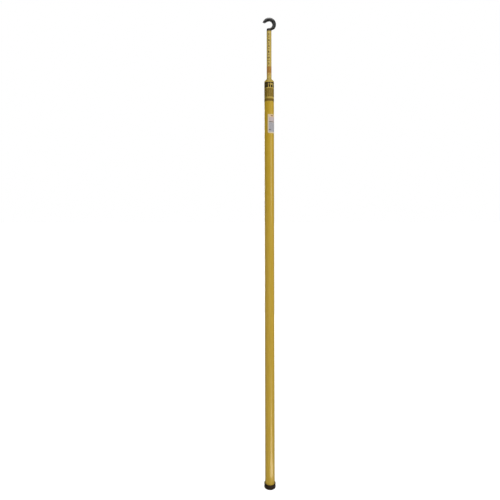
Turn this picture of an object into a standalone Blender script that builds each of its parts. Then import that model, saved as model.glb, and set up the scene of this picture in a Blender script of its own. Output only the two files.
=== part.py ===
"""Telescoping measuring stick with a hook at its tip, stored closed and standing on its foot.

Seven fibreglass tubes slide out of a base tube. Each carries a plug in its lower end, and in the
plug a sprung button that snaps into a hole near the mouth of the tube around it when it is drawn
right out. Closed, the tubes stand on each other's plugs. Metres, +Z up the stick, the hook opens
towards -X, and the buttons face +Y. The origin is the centre of the foot's underside.
"""
import math

import bmesh
import bpy

# Tubes, measured outwards from the tip tube
SLIDING_TUBES = 7
TIP_RADIUS = 0.00824
TUBE_WALL = 0.00088
RUNNING_GAP = 0.0003
BASE_MOUTH_HEIGHT = 1.399
MOUTH_STEP = 0.0013
TIP_MOUTH_HEIGHT = 1.5722
MOUTH_CHAMFER = 0.0003

# Clearance between two pieces that touch on the real stick
SEAT_GAP = 0.0003

# End plugs
PLUG_HEIGHT = 0.015
FLANGE_HEIGHT = 0.002
PLUG_CHAMFER = 0.0008

# Sprung buttons and the holes that they snap into
BUTTON_HEIGHT = 0.0085
LOCK_INSET = 0.045
BUTTON_RADIUS = 0.0025
BUTTON_DOME = 0.001
BUTTON_CREST_RADIUS = 0.001
BUTTON_THROW = 0.002
SHOULDER_RADIUS = 0.0032
SHOULDER_THICKNESS = 0.0012
SPRING_LENGTH = 0.005
SPRING_RADIUS = 0.0023
SPRING_WIRE_RADIUS = 0.0003
SPRING_TURNS = 3.5

# Rubber foot
FOOT_HEIGHT = 0.015
FOOT_FLOOR = 0.006
FOOT_WALL = 0.00295
FOOT_CHAMFER = 0.0012
FOOT_RIM_CHAMFER = 0.0018

# Hook, in its own plane, from the middle of the tip tube's mouth
HOOK_OUTER_CENTRE = (0.0006, 0.0238)
HOOK_OUTER_RADIUS = 0.0236
HOOK_THROAT_CENTRE = (-0.0006, 0.0229)
HOOK_THROAT_RADIUS = 0.0122
HOOK_HEEL_ANGLE = -40.0
HOOK_CREST_ANGLE = 140.0
HOOK_BROW_ANGLE = 158.0
HOOK_SILL_ANGLE = -80.0
HOOK_PALATE_ANGLE = 128.0
HOOK_CLAW_LENGTH = 0.0032
HOOK_BEAK_LENGTH = 0.0078
HOOK_LIP_HEIGHT = 0.0092
HOOK_LIP_INSET = 0.0003
HOOK_ANKLE = (0.0003, 0.0046)
HOOK_DEPTH = 0.012
HOOK_CLAW_DEPTH = 0.005
HOOK_CLAW_TIP = 0.001
SHANK_LENGTH = 0.040
SHANK_CHAMFER = 0.001
PIN_RADIUS = 0.0015
PIN_DEPTH = 0.020

# Power of a rounded section: 2 is an ellipse, and more is squarer
ELLIPSE = 2.0
HOOK_SQUARENESS = 2.6

# Fineness of the faceted solids
TUBE_SIDES = 32
HOLE_SIDES = 16
SPRING_STEPS = 10
HOOK_SIDES = 16
HOOK_RING_STEPS = 18
HOOK_END_STEPS = 3
SHARP_ANGLE = math.radians(35.0)

TUBE_STEP = TUBE_WALL + RUNNING_GAP
HOLE_RADIUS = BUTTON_RADIUS + SEAT_GAP
BORE_RADIUS = SHOULDER_RADIUS + SEAT_GAP
BUTTON_LENGTH = TUBE_WALL + BUTTON_THROW + SHOULDER_THICKNESS
BORE_DEPTH = BUTTON_LENGTH + SPRING_LENGTH
TO_BACK = (math.radians(-90.0), 0.0, 0.0)
TO_SIDE = (0.0, math.radians(90.0), 0.0)


def finish(name, colour, roughness, metallic=0.0):
    """A plain surface of one colour."""
    material = bpy.data.materials.new(name)
    material.use_nodes = True
    shader = material.node_tree.nodes["Principled BSDF"]
    shader.inputs["Base Color"].default_value = (*colour, 1.0)
    shader.inputs["Roughness"].default_value = roughness
    shader.inputs["Metallic"].default_value = metallic
    return material


def place(name, data, parent, location=(0.0, 0.0, 0.0), turn=(0.0, 0.0, 0.0), material=None):
    """An object of this mesh or curve, set in its parent's frame."""
    piece = bpy.data.objects.new(name, data)
    piece.parent = parent
    piece.location = location
    piece.rotation_euler = turn
    if material:
        data.materials.append(material)
    bpy.context.collection.objects.link(piece)
    return piece


def closed_mesh(name, shape):
    """The mesh of a finished solid, its faces turned outwards and its round sides smooth."""
    bmesh.ops.recalc_face_normals(shape, faces=shape.faces)
    mesh = bpy.data.meshes.new(name)
    shape.to_mesh(mesh)
    shape.free()
    mesh.shade_smooth()
    mesh.set_sharp_from_angle(angle=SHARP_ANGLE)
    return mesh


def turned(name, outline, hollow=False, sides=TUBE_SIDES):
    """A solid turned about Z from (radius, height) points that run up its outside.

    A hollow one's outline comes back down its bore; any other gets a flat face at each end.
    Its sides are turned half a step, so that the middle of one faces each way across.
    """
    shape = bmesh.new()
    angles = [math.tau * (i + 0.5) / sides for i in range(sides)]
    rings = [[shape.verts.new((radius * math.cos(a), radius * math.sin(a), height)) for a in angles]
             for radius, height in outline]
    pairs = list(zip(rings, rings[1:]))
    if hollow:
        pairs.append((rings[-1], rings[0]))
    else:
        shape.faces.new(rings[0])
        shape.faces.new(rings[-1])
    for low, high in pairs:
        for i in range(sides):
            shape.faces.new((low[i - 1], low[i], high[i], high[i - 1]))
    return closed_mesh(name, shape)


def shape_with(piece, name, mesh, operation, location=(0.0, 0.0, 0.0), turn=(0.0, 0.0, 0.0)):
    """Cuts this solid out of a piece, or joins it on; by itself it is no piece of the stick."""
    shaper = place(name, mesh, piece.parent, location, turn)
    shaper.hide_render = True
    shaper.display_type = "WIRE"
    modifier = piece.modifiers.new(name, "BOOLEAN")
    modifier.operation = operation
    modifier.solver = "EXACT"
    modifier.object = shaper


def drill_from_back(piece, name, radius, floor, reach, height):
    """A round hole from +Y at this height, which ends at y = floor."""
    mesh = turned(name, [(radius, floor), (radius, reach)], sides=HOLE_SIDES)
    shape_with(piece, name, mesh, "DIFFERENCE", (0.0, 0.0, height), TO_BACK)


def tube_radius(number):
    """Outside radius of a tube: 0 is the base tube, and the last is the tip."""
    return TIP_RADIUS + (SLIDING_TUBES - number) * TUBE_STEP


def plug_height(number):
    """Height of a plug's underside when the stick is closed."""
    return FOOT_FLOOR + SEAT_GAP + number * (PLUG_HEIGHT + SEAT_GAP)


def mouth_height(number):
    """Height of a tube's mouth when the stick is closed."""
    if number == SLIDING_TUBES:
        return TIP_MOUTH_HEIGHT
    return BASE_MOUTH_HEIGHT + number * MOUTH_STEP


def make_tube(name, number, parent, material):
    """A tube on its plug's flange, with its button's hole and its lock hole at the back."""
    outside = tube_radius(number)
    bore = outside - TUBE_WALL
    bottom = FLANGE_HEIGHT + SEAT_GAP
    top = mouth_height(number) - plug_height(number)
    outline = [(bore, bottom), (outside, bottom), (outside, top - MOUTH_CHAMFER),
               (outside - MOUTH_CHAMFER, top), (bore, top)]
    tube = place(name, turned(name, outline, hollow=True), parent, material=material)
    if number < SLIDING_TUBES:
        drill_from_back(tube, f"lock_hole_{number + 1}", HOLE_RADIUS, 0.0, 2.0 * outside,
                        top - LOCK_INSET)
    if number > 0:
        drill_from_back(tube, f"button_hole_{number}", HOLE_RADIUS, 0.0, 2.0 * outside,
                        BUTTON_HEIGHT)
    return tube


def make_plug(name, number, parent, material):
    """A flanged plug in a tube's lower end, bored for the button if the tube slides."""
    flange = tube_radius(number)
    body = flange - TUBE_WALL - SEAT_GAP
    outline = [(flange - PLUG_CHAMFER, 0.0), (flange, PLUG_CHAMFER), (flange, FLANGE_HEIGHT),
               (body, FLANGE_HEIGHT), (body, PLUG_HEIGHT - PLUG_CHAMFER),
               (body - PLUG_CHAMFER, PLUG_HEIGHT)]
    plug = place(name, turned(name, outline), parent, material=material)
    if number > 0:
        floor = flange - BORE_DEPTH - 2.0 * SEAT_GAP
        drill_from_back(plug, f"button_bore_{number}", BORE_RADIUS, floor, 2.0 * flange,
                        BUTTON_HEIGHT)


def make_button(name, number, parent, material):
    """A domed button with a shoulder that keeps it in; its origin is the middle of its face."""
    neck = -BUTTON_LENGTH + SHOULDER_THICKNESS
    crown = math.radians(45.0)
    fall = BUTTON_RADIUS - BUTTON_CREST_RADIUS
    outline = [(SHOULDER_RADIUS, -BUTTON_LENGTH), (SHOULDER_RADIUS, neck), (BUTTON_RADIUS, neck),
               (BUTTON_RADIUS, -BUTTON_DOME),
               (BUTTON_CREST_RADIUS + fall * math.cos(crown), BUTTON_DOME * (math.sin(crown) - 1.0)),
               (BUTTON_CREST_RADIUS, 0.0)]
    mesh = turned(name, outline, sides=HOLE_SIDES)
    place(name, mesh, parent, (0.0, tube_radius(number), BUTTON_HEIGHT), TO_BACK, material)


def make_spring(name, number, parent, material):
    """A coil spring behind a button, clear of the bore's floor and the button's back."""
    curve = bpy.data.curves.new(name, "CURVE")
    curve.dimensions = "3D"
    curve.bevel_depth = SPRING_WIRE_RADIUS
    curve.bevel_resolution = 1
    curve.use_fill_caps = True
    steps = round(SPRING_TURNS * SPRING_STEPS)
    spline = curve.splines.new("POLY")
    spline.points.add(steps)
    first = -BUTTON_LENGTH - SEAT_GAP - SPRING_WIRE_RADIUS
    run = SPRING_LENGTH - 2.0 * SPRING_WIRE_RADIUS
    for i, point in enumerate(spline.points):
        angle = math.tau * i / SPRING_STEPS
        height = first - run * i / steps
        point.co = (SPRING_RADIUS * math.cos(angle), SPRING_RADIUS * math.sin(angle), height, 1.0)
    place(name, curve, parent, (0.0, tube_radius(number), BUTTON_HEIGHT), TO_BACK, material)


def make_foot(name, material):
    """The rubber cup that the base tube stands in."""
    bore = tube_radius(0) + SEAT_GAP
    outside = bore + FOOT_WALL
    outline = [(outside - FOOT_CHAMFER, 0.0), (outside, FOOT_CHAMFER),
               (outside, FOOT_HEIGHT - FOOT_RIM_CHAMFER), (outside - FOOT_RIM_CHAMFER, FOOT_HEIGHT),
               (bore, FOOT_HEIGHT), (bore, FOOT_FLOOR)]
    place(name, turned(name, outline), None, material=material)


def on_arc(centre, radius, first, last, share):
    """The point this share of the way along an arc whose ends are angles in degrees."""
    angle = math.radians(first + (last - first) * share)
    return (centre[0] + radius * math.cos(angle), centre[1] + radius * math.sin(angle))


def between(start, end, share):
    """The point or number this share of the way from one to the other."""
    if isinstance(start, tuple):
        return tuple(a + (b - a) * share for a, b in zip(start, end))
    return start + (end - start) * share


def hook_stations():
    """(inner edge, outer edge, depth, squareness) of the hook's cross-sections, mouth to claw.

    The two edges run round the throat and the back, then the lower one leaves the throat for the
    level underside of the beak, while the upper one keeps to the back until the brow.
    """
    throat = (HOOK_THROAT_CENTRE, HOOK_THROAT_RADIUS, HOOK_SILL_ANGLE, HOOK_PALATE_ANGLE)
    back = (HOOK_OUTER_CENTRE, HOOK_OUTER_RADIUS, HOOK_HEEL_ANGLE, HOOK_CREST_ANGLE)
    forehead = (HOOK_OUTER_CENTRE, HOOK_OUTER_RADIUS, HOOK_CREST_ANGLE, HOOK_BROW_ANGLE)
    lip = (HOOK_LIP_INSET - TIP_RADIUS, HOOK_LIP_HEIGHT)
    ankle = (TIP_RADIUS + HOOK_ANKLE[0], HOOK_ANKLE[1])
    brow = on_arc(*forehead, 1.0)
    slope = math.radians(HOOK_BROW_ANGLE)
    claw = (brow[0] - HOOK_CLAW_LENGTH * math.sin(slope), brow[1] + HOOK_CLAW_LENGTH * math.cos(slope))
    beak = (claw[0] + HOOK_BEAK_LENGTH, claw[1])
    under_tip = (claw[0] + HOOK_CLAW_TIP, claw[1])
    over_tip = between(claw, brow, HOOK_CLAW_TIP / HOOK_CLAW_LENGTH)

    mouth_depth = 2.0 * TIP_RADIUS
    stations = [((-TIP_RADIUS, SEAT_GAP), (TIP_RADIUS, SEAT_GAP), mouth_depth, ELLIPSE)]
    neck_depth = (mouth_depth + HOOK_DEPTH) / 2.0
    neck_squareness = (ELLIPSE + HOOK_SQUARENESS) / 2.0
    for step in range(HOOK_END_STEPS):
        share = step / HOOK_END_STEPS
        inner = between(lip, on_arc(*throat, 0.0), share)
        outer = between(ankle, on_arc(*back, 0.0), share)
        stations.append((inner, outer, between(neck_depth, HOOK_DEPTH, share),
                         between(neck_squareness, HOOK_SQUARENESS, share)))
    for step in range(HOOK_RING_STEPS):
        share = step / HOOK_RING_STEPS
        stations.append((on_arc(*throat, share), on_arc(*back, share), HOOK_DEPTH, HOOK_SQUARENESS))
    for step in range(HOOK_END_STEPS):
        share = step / HOOK_END_STEPS
        inner = between(on_arc(*throat, 1.0), beak, share)
        stations.append((inner, on_arc(*forehead, share), HOOK_DEPTH, HOOK_SQUARENESS))
    for step in range(HOOK_END_STEPS + 1):
        share = step / HOOK_END_STEPS
        stations.append((between(beak, under_tip, share), between(brow, over_tip, share),
                         between(HOOK_DEPTH, HOOK_CLAW_DEPTH, share), HOOK_SQUARENESS))
    return stations


def hook_section(inner, outer, depth, squareness):
    """A rounded cross-section that reaches from the hook's inner edge to its outer edge."""
    middle = between(inner, outer, 0.5)
    points = []
    for i in range(HOOK_SIDES):
        angle = math.tau * i / HOOK_SIDES
        across, along = math.cos(angle), math.sin(angle)
        across = math.copysign(abs(across) ** (2.0 / squareness), across)
        along = math.copysign(abs(along) ** (2.0 / squareness), along)
        points.append((middle[0] + across * (outer[0] - inner[0]) / 2.0, along * depth / 2.0,
                       middle[1] + across * (outer[1] - inner[1]) / 2.0))
    return points


def make_hook(name, parent, height, material):
    """The moulded hook on the tube's mouth, with a shank down inside the tube for its pin."""
    shape = bmesh.new()
    rings = [[shape.verts.new(point) for point in hook_section(*station)]
             for station in hook_stations()]
    for low, high in zip(rings, rings[1:]):
        for i in range(HOOK_SIDES):
            shape.faces.new((low[i - 1], low[i], high[i], high[i - 1]))
    shape.faces.new(rings[0])
    shape.faces.new(rings[-1])
    hook = place(name, closed_mesh(name, shape), parent, (0.0, 0.0, height), material=material)

    shank = TIP_RADIUS - TUBE_WALL - SEAT_GAP
    outline = [(shank - SHANK_CHAMFER, -SHANK_LENGTH), (shank, SHANK_CHAMFER - SHANK_LENGTH),
               (shank, HOOK_ANKLE[1])]
    shape_with(hook, "hook_shank", turned("hook_shank", outline), "UNION", (0.0, 0.0, height))
    pin_hole = turned("hook_pin_hole", solid_bar(PIN_RADIUS + SEAT_GAP, 2.0 * TIP_RADIUS),
                      sides=HOLE_SIDES)
    shape_with(hook, "hook_pin_hole", pin_hole, "DIFFERENCE", (0.0, 0.0, height - PIN_DEPTH),
               TO_SIDE)


def solid_bar(radius, half_length):
    """The outline of a round bar whose middle is at the origin."""
    return [(radius, -half_length), (radius, half_length)]


def make_tip(parent, tube, plastic, steel, foam):
    """What only the tip tube carries: the hook, the pin that holds it, and the foam core."""
    height = TIP_MOUTH_HEIGHT - plug_height(SLIDING_TUBES)
    make_hook("hook", parent, height, plastic)
    pin_at = (0.0, 0.0, height - PIN_DEPTH)
    tube_hole = turned("tip_pin_hole", solid_bar(PIN_RADIUS + SEAT_GAP, 2.0 * TIP_RADIUS),
                       sides=HOLE_SIDES)
    shape_with(tube, "tip_pin_hole", tube_hole, "DIFFERENCE", pin_at, TO_SIDE)
    pin = turned("hook_pin", solid_bar(PIN_RADIUS, TIP_RADIUS - MOUTH_CHAMFER), sides=HOLE_SIDES)
    place("hook_pin", pin, parent, pin_at, TO_SIDE, steel)
    radius = TIP_RADIUS - TUBE_WALL - SEAT_GAP
    core = [(radius, PLUG_HEIGHT + SEAT_GAP), (radius, height - SHANK_LENGTH - SEAT_GAP)]
    place("tip_core", turned("tip_core", core), parent, material=foam)


def carrier(name, parent, height):
    """The empty that a tube, and all that slides with it, hangs from."""
    empty = bpy.data.objects.new(name, None)
    empty.parent = parent
    empty.location = (0.0, 0.0, height)
    bpy.context.collection.objects.link(empty)
    return empty


def build():
    """The whole stick, closed."""
    for old in list(bpy.data.objects):
        bpy.data.objects.remove(old)
    glass = finish("yellow_fibreglass", (0.47, 0.32, 0.06), 0.32)
    nylon = finish("black_nylon", (0.02, 0.02, 0.022), 0.45)
    pale_nylon = finish("natural_nylon", (0.75, 0.72, 0.62), 0.4)
    rubber = finish("black_rubber", (0.025, 0.022, 0.02), 0.75)
    brass = finish("brass", (0.72, 0.5, 0.2), 0.3, 1.0)
    steel = finish("stainless_steel", (0.62, 0.62, 0.62), 0.25, 1.0)
    foam = finish("urethane_foam", (0.78, 0.7, 0.45), 0.9)

    make_foot("foot_cap", rubber)
    holder = carrier("base_carrier", None, plug_height(0))
    make_plug("base_plug", 0, holder, pale_nylon)
    make_tube("base_tube", 0, holder, glass)
    for number in range(1, SLIDING_TUBES + 1):
        rise = plug_height(number) - plug_height(number - 1)
        holder = carrier(f"slide_{number}_carrier", holder, rise)
        last = number == SLIDING_TUBES
        tube = make_tube("tip_tube" if last else f"slide_tube_{number}", number, holder, glass)
        make_plug(f"end_plug_{number}", number, holder, pale_nylon)
        make_button(f"lock_button_{number}", number, holder, brass)
        make_spring(f"button_spring_{number}", number, holder, steel)
    make_tip(holder, tube, nylon, steel, foam)


build()
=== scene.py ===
"""Looks of the telescoping measuring stick: its fibreglass tubes, moulded hook, rubber foot and prints.

Metres, +Z up the stick, the hook opens towards -X, the lock buttons face +Y and the camera looks
along +Y. Heights and radii are taken from the frame's own boxes; only what those can't tell, such
as a wall or a rounding, has a value here.
"""
import math

import bmesh
import bpy
from mathutils import Matrix, Vector


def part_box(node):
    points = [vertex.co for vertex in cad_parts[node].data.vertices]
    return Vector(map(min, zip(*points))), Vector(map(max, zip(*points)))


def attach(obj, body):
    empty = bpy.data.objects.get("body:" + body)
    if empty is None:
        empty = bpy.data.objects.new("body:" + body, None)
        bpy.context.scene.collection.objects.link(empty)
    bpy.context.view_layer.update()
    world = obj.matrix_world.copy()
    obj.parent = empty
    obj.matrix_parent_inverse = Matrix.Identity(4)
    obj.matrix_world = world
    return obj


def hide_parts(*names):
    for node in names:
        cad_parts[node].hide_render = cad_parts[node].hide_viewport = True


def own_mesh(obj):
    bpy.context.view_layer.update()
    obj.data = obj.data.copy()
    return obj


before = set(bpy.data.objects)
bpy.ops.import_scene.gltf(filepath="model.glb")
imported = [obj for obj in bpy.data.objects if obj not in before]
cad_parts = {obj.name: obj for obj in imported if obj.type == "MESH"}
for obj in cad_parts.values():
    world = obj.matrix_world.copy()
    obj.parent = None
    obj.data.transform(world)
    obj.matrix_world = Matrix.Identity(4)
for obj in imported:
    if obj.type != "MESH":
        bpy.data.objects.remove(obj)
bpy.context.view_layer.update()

# Tubes and what is drilled in them
SLIDING_TUBES = 7
CAD_SIDES = 32
TUBE_WALL = 0.00088
SEAT_GAP = 0.0003
MOUTH_ROUNDING = 0.00028
BORE_ROUNDING = 0.00015
LOCK_INSET = 0.045
HOLE_RADIUS = 0.0028
HOLE_COLLAR = 0.006

# Plugs, buttons, springs, pin and core
FLANGE_HEIGHT = 0.002
BUTTON_RADIUS = 0.0025
BUTTON_CREST_RADIUS = 0.001
BUTTON_DOME = 0.001
SHOULDER_RADIUS = 0.0032
SHOULDER_THICKNESS = 0.0012
SPRING_RADIUS = 0.0023
SPRING_WIRE_RADIUS = 0.0003
SPRING_TURNS = 3.5
PLUG_ROUNDING = 0.0006
PIN_RADIUS = 0.0015
PIN_ROUNDING = 0.0003

# Hook, in its own plane, from the middle of the tip tube's mouth
HOOK_OUTER_CENTRE = (0.0006, 0.0238)
HOOK_OUTER_RADIUS = 0.0236
HOOK_THROAT_CENTRE = (-0.0006, 0.0229)
HOOK_THROAT_RADIUS = 0.0122
HOOK_HEEL_ANGLE = -40.0
HOOK_CREST_ANGLE = 140.0
HOOK_BROW_ANGLE = 158.0
HOOK_SILL_ANGLE = -80.0
HOOK_PALATE_ANGLE = 128.0
HOOK_CLAW_LENGTH = 0.0032
HOOK_BEAK_LENGTH = 0.0078
HOOK_LIP_HEIGHT = 0.0092
HOOK_LIP_INSET = 0.0003
HOOK_ANKLE = (0.0003, 0.0046)
HOOK_DEPTH = 0.012
HOOK_CLAW_DEPTH = 0.005
HOOK_CLAW_TIP = 0.001
HOOK_TIP_ROUNDING = 0.0004
HOOK_INNER_EASING = 3
HOOK_OUTER_EASING = 6
ELLIPSE = 2.0
HOOK_SQUARENESS = 2.6
SHANK_LENGTH = 0.040
SHANK_ROUNDING = 0.001
SEAM_HEIGHT = 0.0001
SEAM_WIDTH = 0.0006
# Heights above the tip tube's mouth of the painted brown reflection on the hook, full and fading out
PAINTED_BOUNCE_FULL_HEIGHT = 0.004
PAINTED_BOUNCE_HEIGHT = 0.013

# Rubber foot
FOOT_FLOOR = 0.006
FOOT_RIM_ROUNDING = 0.0018
FOOT_BASE_ROUNDING = 0.0012
FOOT_BEAD_HEIGHT = 0.0035
FOOT_BEAD_ROUNDING = 0.0008
FOOT_WAIST = 0.0004
FOOT_TREAD_RADII = (0.005, 0.009, 0.013)
FOOT_TREAD_WIDTH = 0.0016
FOOT_TREAD_DEPTH = 0.0008

# Printed scale down each sliding tube, heights measured down from the tube's mouth
INK_CLEARANCE = 0.00001
INK_THICKNESS = 0.00003
SLICE_WIDTH = 0.0005
SCALE_STEP_CM = 2
SCALE_PITCH = 0.020
SCALE_DASH = (0.0046, 0.0019)
SCALE_TICK = (0.0020, 0.0005)
SCALE_TICK_SIDE = 0.0046
NUMERAL_HEIGHT = 0.0060
NUMERAL_STRETCH = 1.35
NUMERAL_BOLDNESS = 0.035
NUMERAL_ADVANCE = 0.0056
NUMERAL_ANGLE = math.radians(-10.0)
TIP_SCALE_TOP = 0.0128
TIP_BAND_DROP = 0.1229
SLIDE_BAND_DROP = 0.008
SLIDE_SCALE_TOP = 0.060
BAND_HEIGHT = 0.022
BAND_TAIL_HEIGHT = 0.008
BAND_MARGIN = 0.005
BAND_BELOW = 0.021
SCALE_END_MARGIN = 0.030

# Printed sleeve at the top of the base tube
SLEEVE_HEIGHT = 0.071
SLEEVE_THICKNESS = 0.00006
SLEEVE_GAP_ANGLE = math.radians(21.0)
FILM_CORNER = 0.002
BAR_COUNT = 11
BAR_DROP = 0.0053
BAR_HEIGHT = 0.0180
BAR_WIDTHS = (0.0042, 0.0074)
BAR_LINE_HEIGHT = 0.0030
NOTCH_DROP = 0.0090
NOTCH_HEIGHT = 0.0062
NOTCH_WIDTHS = (0.0001, 0.0050)
DASH_COUNT = 16
DASH_DROP = 0.0266
DASH_ROWS = 9
DASH_ROW_PITCH = 0.0032
DASH_HEIGHT = 0.0028
DASH_WIDTHS = (0.0046, 0.0057)
RING_DROP = 0.0615
RING_HEIGHT = 0.0087
BAR_SEED = 959
NOTCH_SEED = 2196
DASH_SEED = 3
# Painted shade: a darker strip down the sleeve's left side, where the light falls off
PAINTED_SHADE_HEIGHT = 0.063
PAINTED_SHADE_ANGLES = (math.radians(-95.0), math.radians(-33.0))

# Blank sticker on the base tube's right side, heights measured down from its top
STICKER_TOP = 1.2829
STICKER_HEIGHT = 0.064
STICKER_FIRST_ANGLE = math.radians(-19.5)
STICKER_LAST_ANGLE = math.radians(112.0)
STICKER_THICKNESS = 0.00008
STICKER_MARGIN = 0.0035
STICKER_HEADER = (0.0010, 0.0080)
STICKER_HEADER_MARK = (0.0024, 0.0068)
STICKER_PANEL = (0.0088, 0.0228)
STICKER_RULE = (0.0238, 0.0266)
STICKER_FIELD = (0.0276, 0.0596)
STICKER_BLOT = (0.0508, 0.0540)
STICKER_LINE_PITCH = 0.0029
STICKER_LINE_HEIGHT = 0.0007
STICKER_MARK_SHARE = 0.22
PRINT_CORNER = 0.0005

# Fineness of the meshes
TUBE_SIDES = 96
HOLE_SIDES = 48
SMALL_SIDES = 48
HOOK_SIDES = 56
HOOK_RING_STEPS = 64
HOOK_NECK_STEPS = 10
HOOK_BEAK_STEPS = 10
ROUND_STEPS = 4
SPRING_TURN_STEPS = 24
WIRE_RESOLUTION = 3
FIGURE_RESOLUTION = 3
FIGURE_WELD = 0.0005
SLICE_TOLERANCE = 1e-7
BAR_SLICES = 12
LINE_SLICES = 80
SHARP_ANGLE = math.radians(35.0)
SKIN_FACING = 0.8
SEAM_TOLERANCE = 0.001

# Camera and frame of the photograph
IMAGE_SIZE = 500
SENSOR_WIDTH = 36.0
METRES_PER_PIXEL = 0.003455
FOOT_ROW = 486.6
AXIS_COLUMN = 269.4
HORIZON_ROW = 210.0
CAMERA_DISTANCE = 1.46
CAMERA_ROLL = math.radians(0.12)
NEAR_CLIP = 0.05

# Ground, room and lamps
GROUND_REACH = 30.0
ROOM_COLOUR = "D8D4CC"
ROOM_LEFT = -0.8
ROOM_STRENGTHS = (0.03, 0.25)
CEILING_LIGHT_ANGLE = math.radians(40.0)
STRIP_TURN = (math.pi, 0.0, math.radians(-52.0))

COMPARE = "FunctionNodeCompare"
LOGIC = "FunctionNodeBooleanMath"
TO_BACK = Matrix.Rotation(math.radians(-90.0), 4, "X")
TO_SIDE = Matrix.Rotation(math.radians(90.0), 4, "Y")


def linear(colour):
    """Scene-linear RGBA of a six-digit sRGB hex colour."""
    channels = []
    for start in (0, 2, 4):
        value = int(colour[start:start + 2], 16) / 255.0
        channels.append(value / 12.92 if value <= 0.04045 else ((value + 0.055) / 1.055) ** 2.4)
    return (*channels, 1.0)


def feed(tree, node, inputs):
    """Gives a node its inputs, by name or number: each is a value or a socket."""
    for name, value in inputs.items():
        if isinstance(value, bpy.types.NodeSocket):
            tree.links.new(value, node.inputs[name])
        else:
            node.inputs[name].default_value = value


def add(tree, kind, inputs=None, **settings):
    """Adds a node with its settings and inputs."""
    node = tree.nodes.new(kind)
    for name, value in settings.items():
        setattr(node, name, value)
    feed(tree, node, inputs or {})
    return node


def calc(tree, operation, *values, kind="ShaderNodeMath"):
    """What a sum, or another kind of node with an operation, makes of values or sockets."""
    return add(tree, kind, dict(enumerate(values)), operation=operation).outputs[0]


def new_object(name, data):
    """A new object in the scene."""
    made = bpy.data.objects.new(name, data)
    bpy.context.scene.collection.objects.link(made)
    return made


def photo_camera():
    """The photograph's view: a level camera in front of the stick."""
    lens = bpy.data.cameras.new("camera")
    lens.sensor_width = SENSOR_WIDTH
    lens.lens = SENSOR_WIDTH * CAMERA_DISTANCE / (METRES_PER_PIXEL * IMAGE_SIZE)
    lens.shift_y = (HORIZON_ROW - IMAGE_SIZE / 2.0) / IMAGE_SIZE
    lens.clip_start = NEAR_CLIP
    camera = new_object("camera", lens)
    camera.location = ((IMAGE_SIZE / 2.0 - AXIS_COLUMN) * METRES_PER_PIXEL, -CAMERA_DISTANCE,
                       (FOOT_ROW - HORIZON_ROW) * METRES_PER_PIXEL)
    camera.rotation_euler = (math.radians(90.0), CAMERA_ROLL, 0.0)
    bpy.context.scene.camera = camera
    bpy.context.scene.view_settings.view_transform = "Standard"


def white_ground():
    """A wide white sheet for the stick to stand on."""
    shape = bmesh.new()
    bmesh.ops.create_grid(shape, x_segments=1, y_segments=1, size=GROUND_REACH)
    new_piece("floor", shape, white_floor())


def white_world():
    """White behind the stick, and a grey room round it, darker on its left, for its sides to reflect."""
    world = bpy.data.worlds.new("studio")
    world.use_nodes = True
    tree = world.node_tree
    room = tree.nodes["Background"]
    bearing = add(tree, "ShaderNodeTexCoord").outputs["Generated"]
    across = add(tree, "ShaderNodeSeparateXYZ", {"Vector": bearing}).outputs["X"]
    feed(tree, room, {"Color": linear(ROOM_COLOUR),
                      "Strength": spread(tree, across, ROOM_LEFT, 0.0, *ROOM_STRENGTHS)})
    backdrop = add(tree, "ShaderNodeBackground", {"Color": linear("FFFFFF"), "Strength": 1.0})
    seen = add(tree, "ShaderNodeLightPath").outputs["Is Camera Ray"]
    both = add(tree, "ShaderNodeMixShader", {0: seen, 1: room.outputs[0], 2: backdrop.outputs[0]})
    tree.links.new(both.outputs[0], tree.nodes["World Output"].inputs["Surface"])
    bpy.context.scene.world = world


def soft_light(name, place, target, energy, size=None):
    """A lamp at a place, turned to its target: an area this wide and high, or else a sun."""
    lamp = bpy.data.lights.new(name, "AREA" if size else "SUN")
    lamp.energy = energy
    if size:
        lamp.shape = "RECTANGLE"
        lamp.size, lamp.size_y = size
    light = new_object(name, lamp)
    light.location = place
    light.rotation_euler = (Vector(place) - Vector(target)).to_track_quat("Z", "Y").to_euler()
    return light


def studio_lights():
    """Softboxes and reflectors that the tubes and the hook mirror, and even light from above.

    Energies are in watts, and the sun's is in watts per square metre.
    """
    soft_light("key_softbox", (1.15, -1.2, 1.2), (0.0, 0.0, 1.1), 6.2, (0.3, 0.8))
    soft_light("hook_softbox", (0.15, -1.0, 2.6), (0.0, 0.0, 1.62), 3.0, (0.5, 0.5))
    card = soft_light("hook_reflector", (-0.1, -0.95, 2.55), (0.0, 0.0, 1.62), 5.4, (0.5, 0.9))
    card.visible_diffuse = False
    sun = soft_light("ceiling_light", (0.5, -0.6, 4.0), (0.0, 0.0, 0.0), 3.28)
    sun.data.angle = CEILING_LIGHT_ANGLE
    fill = soft_light("low_fill", (-0.3, -1.2, 0.25), (0.0, 0.0, 0.25), 3.2, (0.6, 0.6))
    fill.visible_glossy = False
    back = soft_light("back_softbox", (-0.4, 2.4, 1.0), (0.0, 0.0, 0.9), 30.0, (0.8, 1.8))
    back.visible_camera = False
    strip = soft_light("low_reflector", (0.248, -0.318, 0.004), (0.248, -0.318, 1.0), 1.0, (0.7, 0.1))
    strip.rotation_euler = STRIP_TURN
    strip.visible_camera = False
    strip.visible_diffuse = False


def new_material(name):
    """A material with its node tree, its shader and the object's own coordinates."""
    made = bpy.data.materials.new(name)
    made.use_nodes = True
    tree = made.node_tree
    places = add(tree, "ShaderNodeTexCoord").outputs["Object"]
    return made, tree, tree.nodes["Principled BSDF"], places


def noise(tree, places, size, detail=2.0, length=None):
    """Noise whose grains are this size in metres, drawn out to a length along Z if one is given."""
    scale = (1.0 / size, 1.0 / size, 1.0 / (length or size))
    stretched = add(tree, "ShaderNodeMapping", {"Vector": places, "Scale": scale})
    return add(tree, "ShaderNodeTexNoise", {"Vector": stretched.outputs[0], "Scale": 1.0,
                                            "Detail": detail}).outputs["Fac"]


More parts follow.
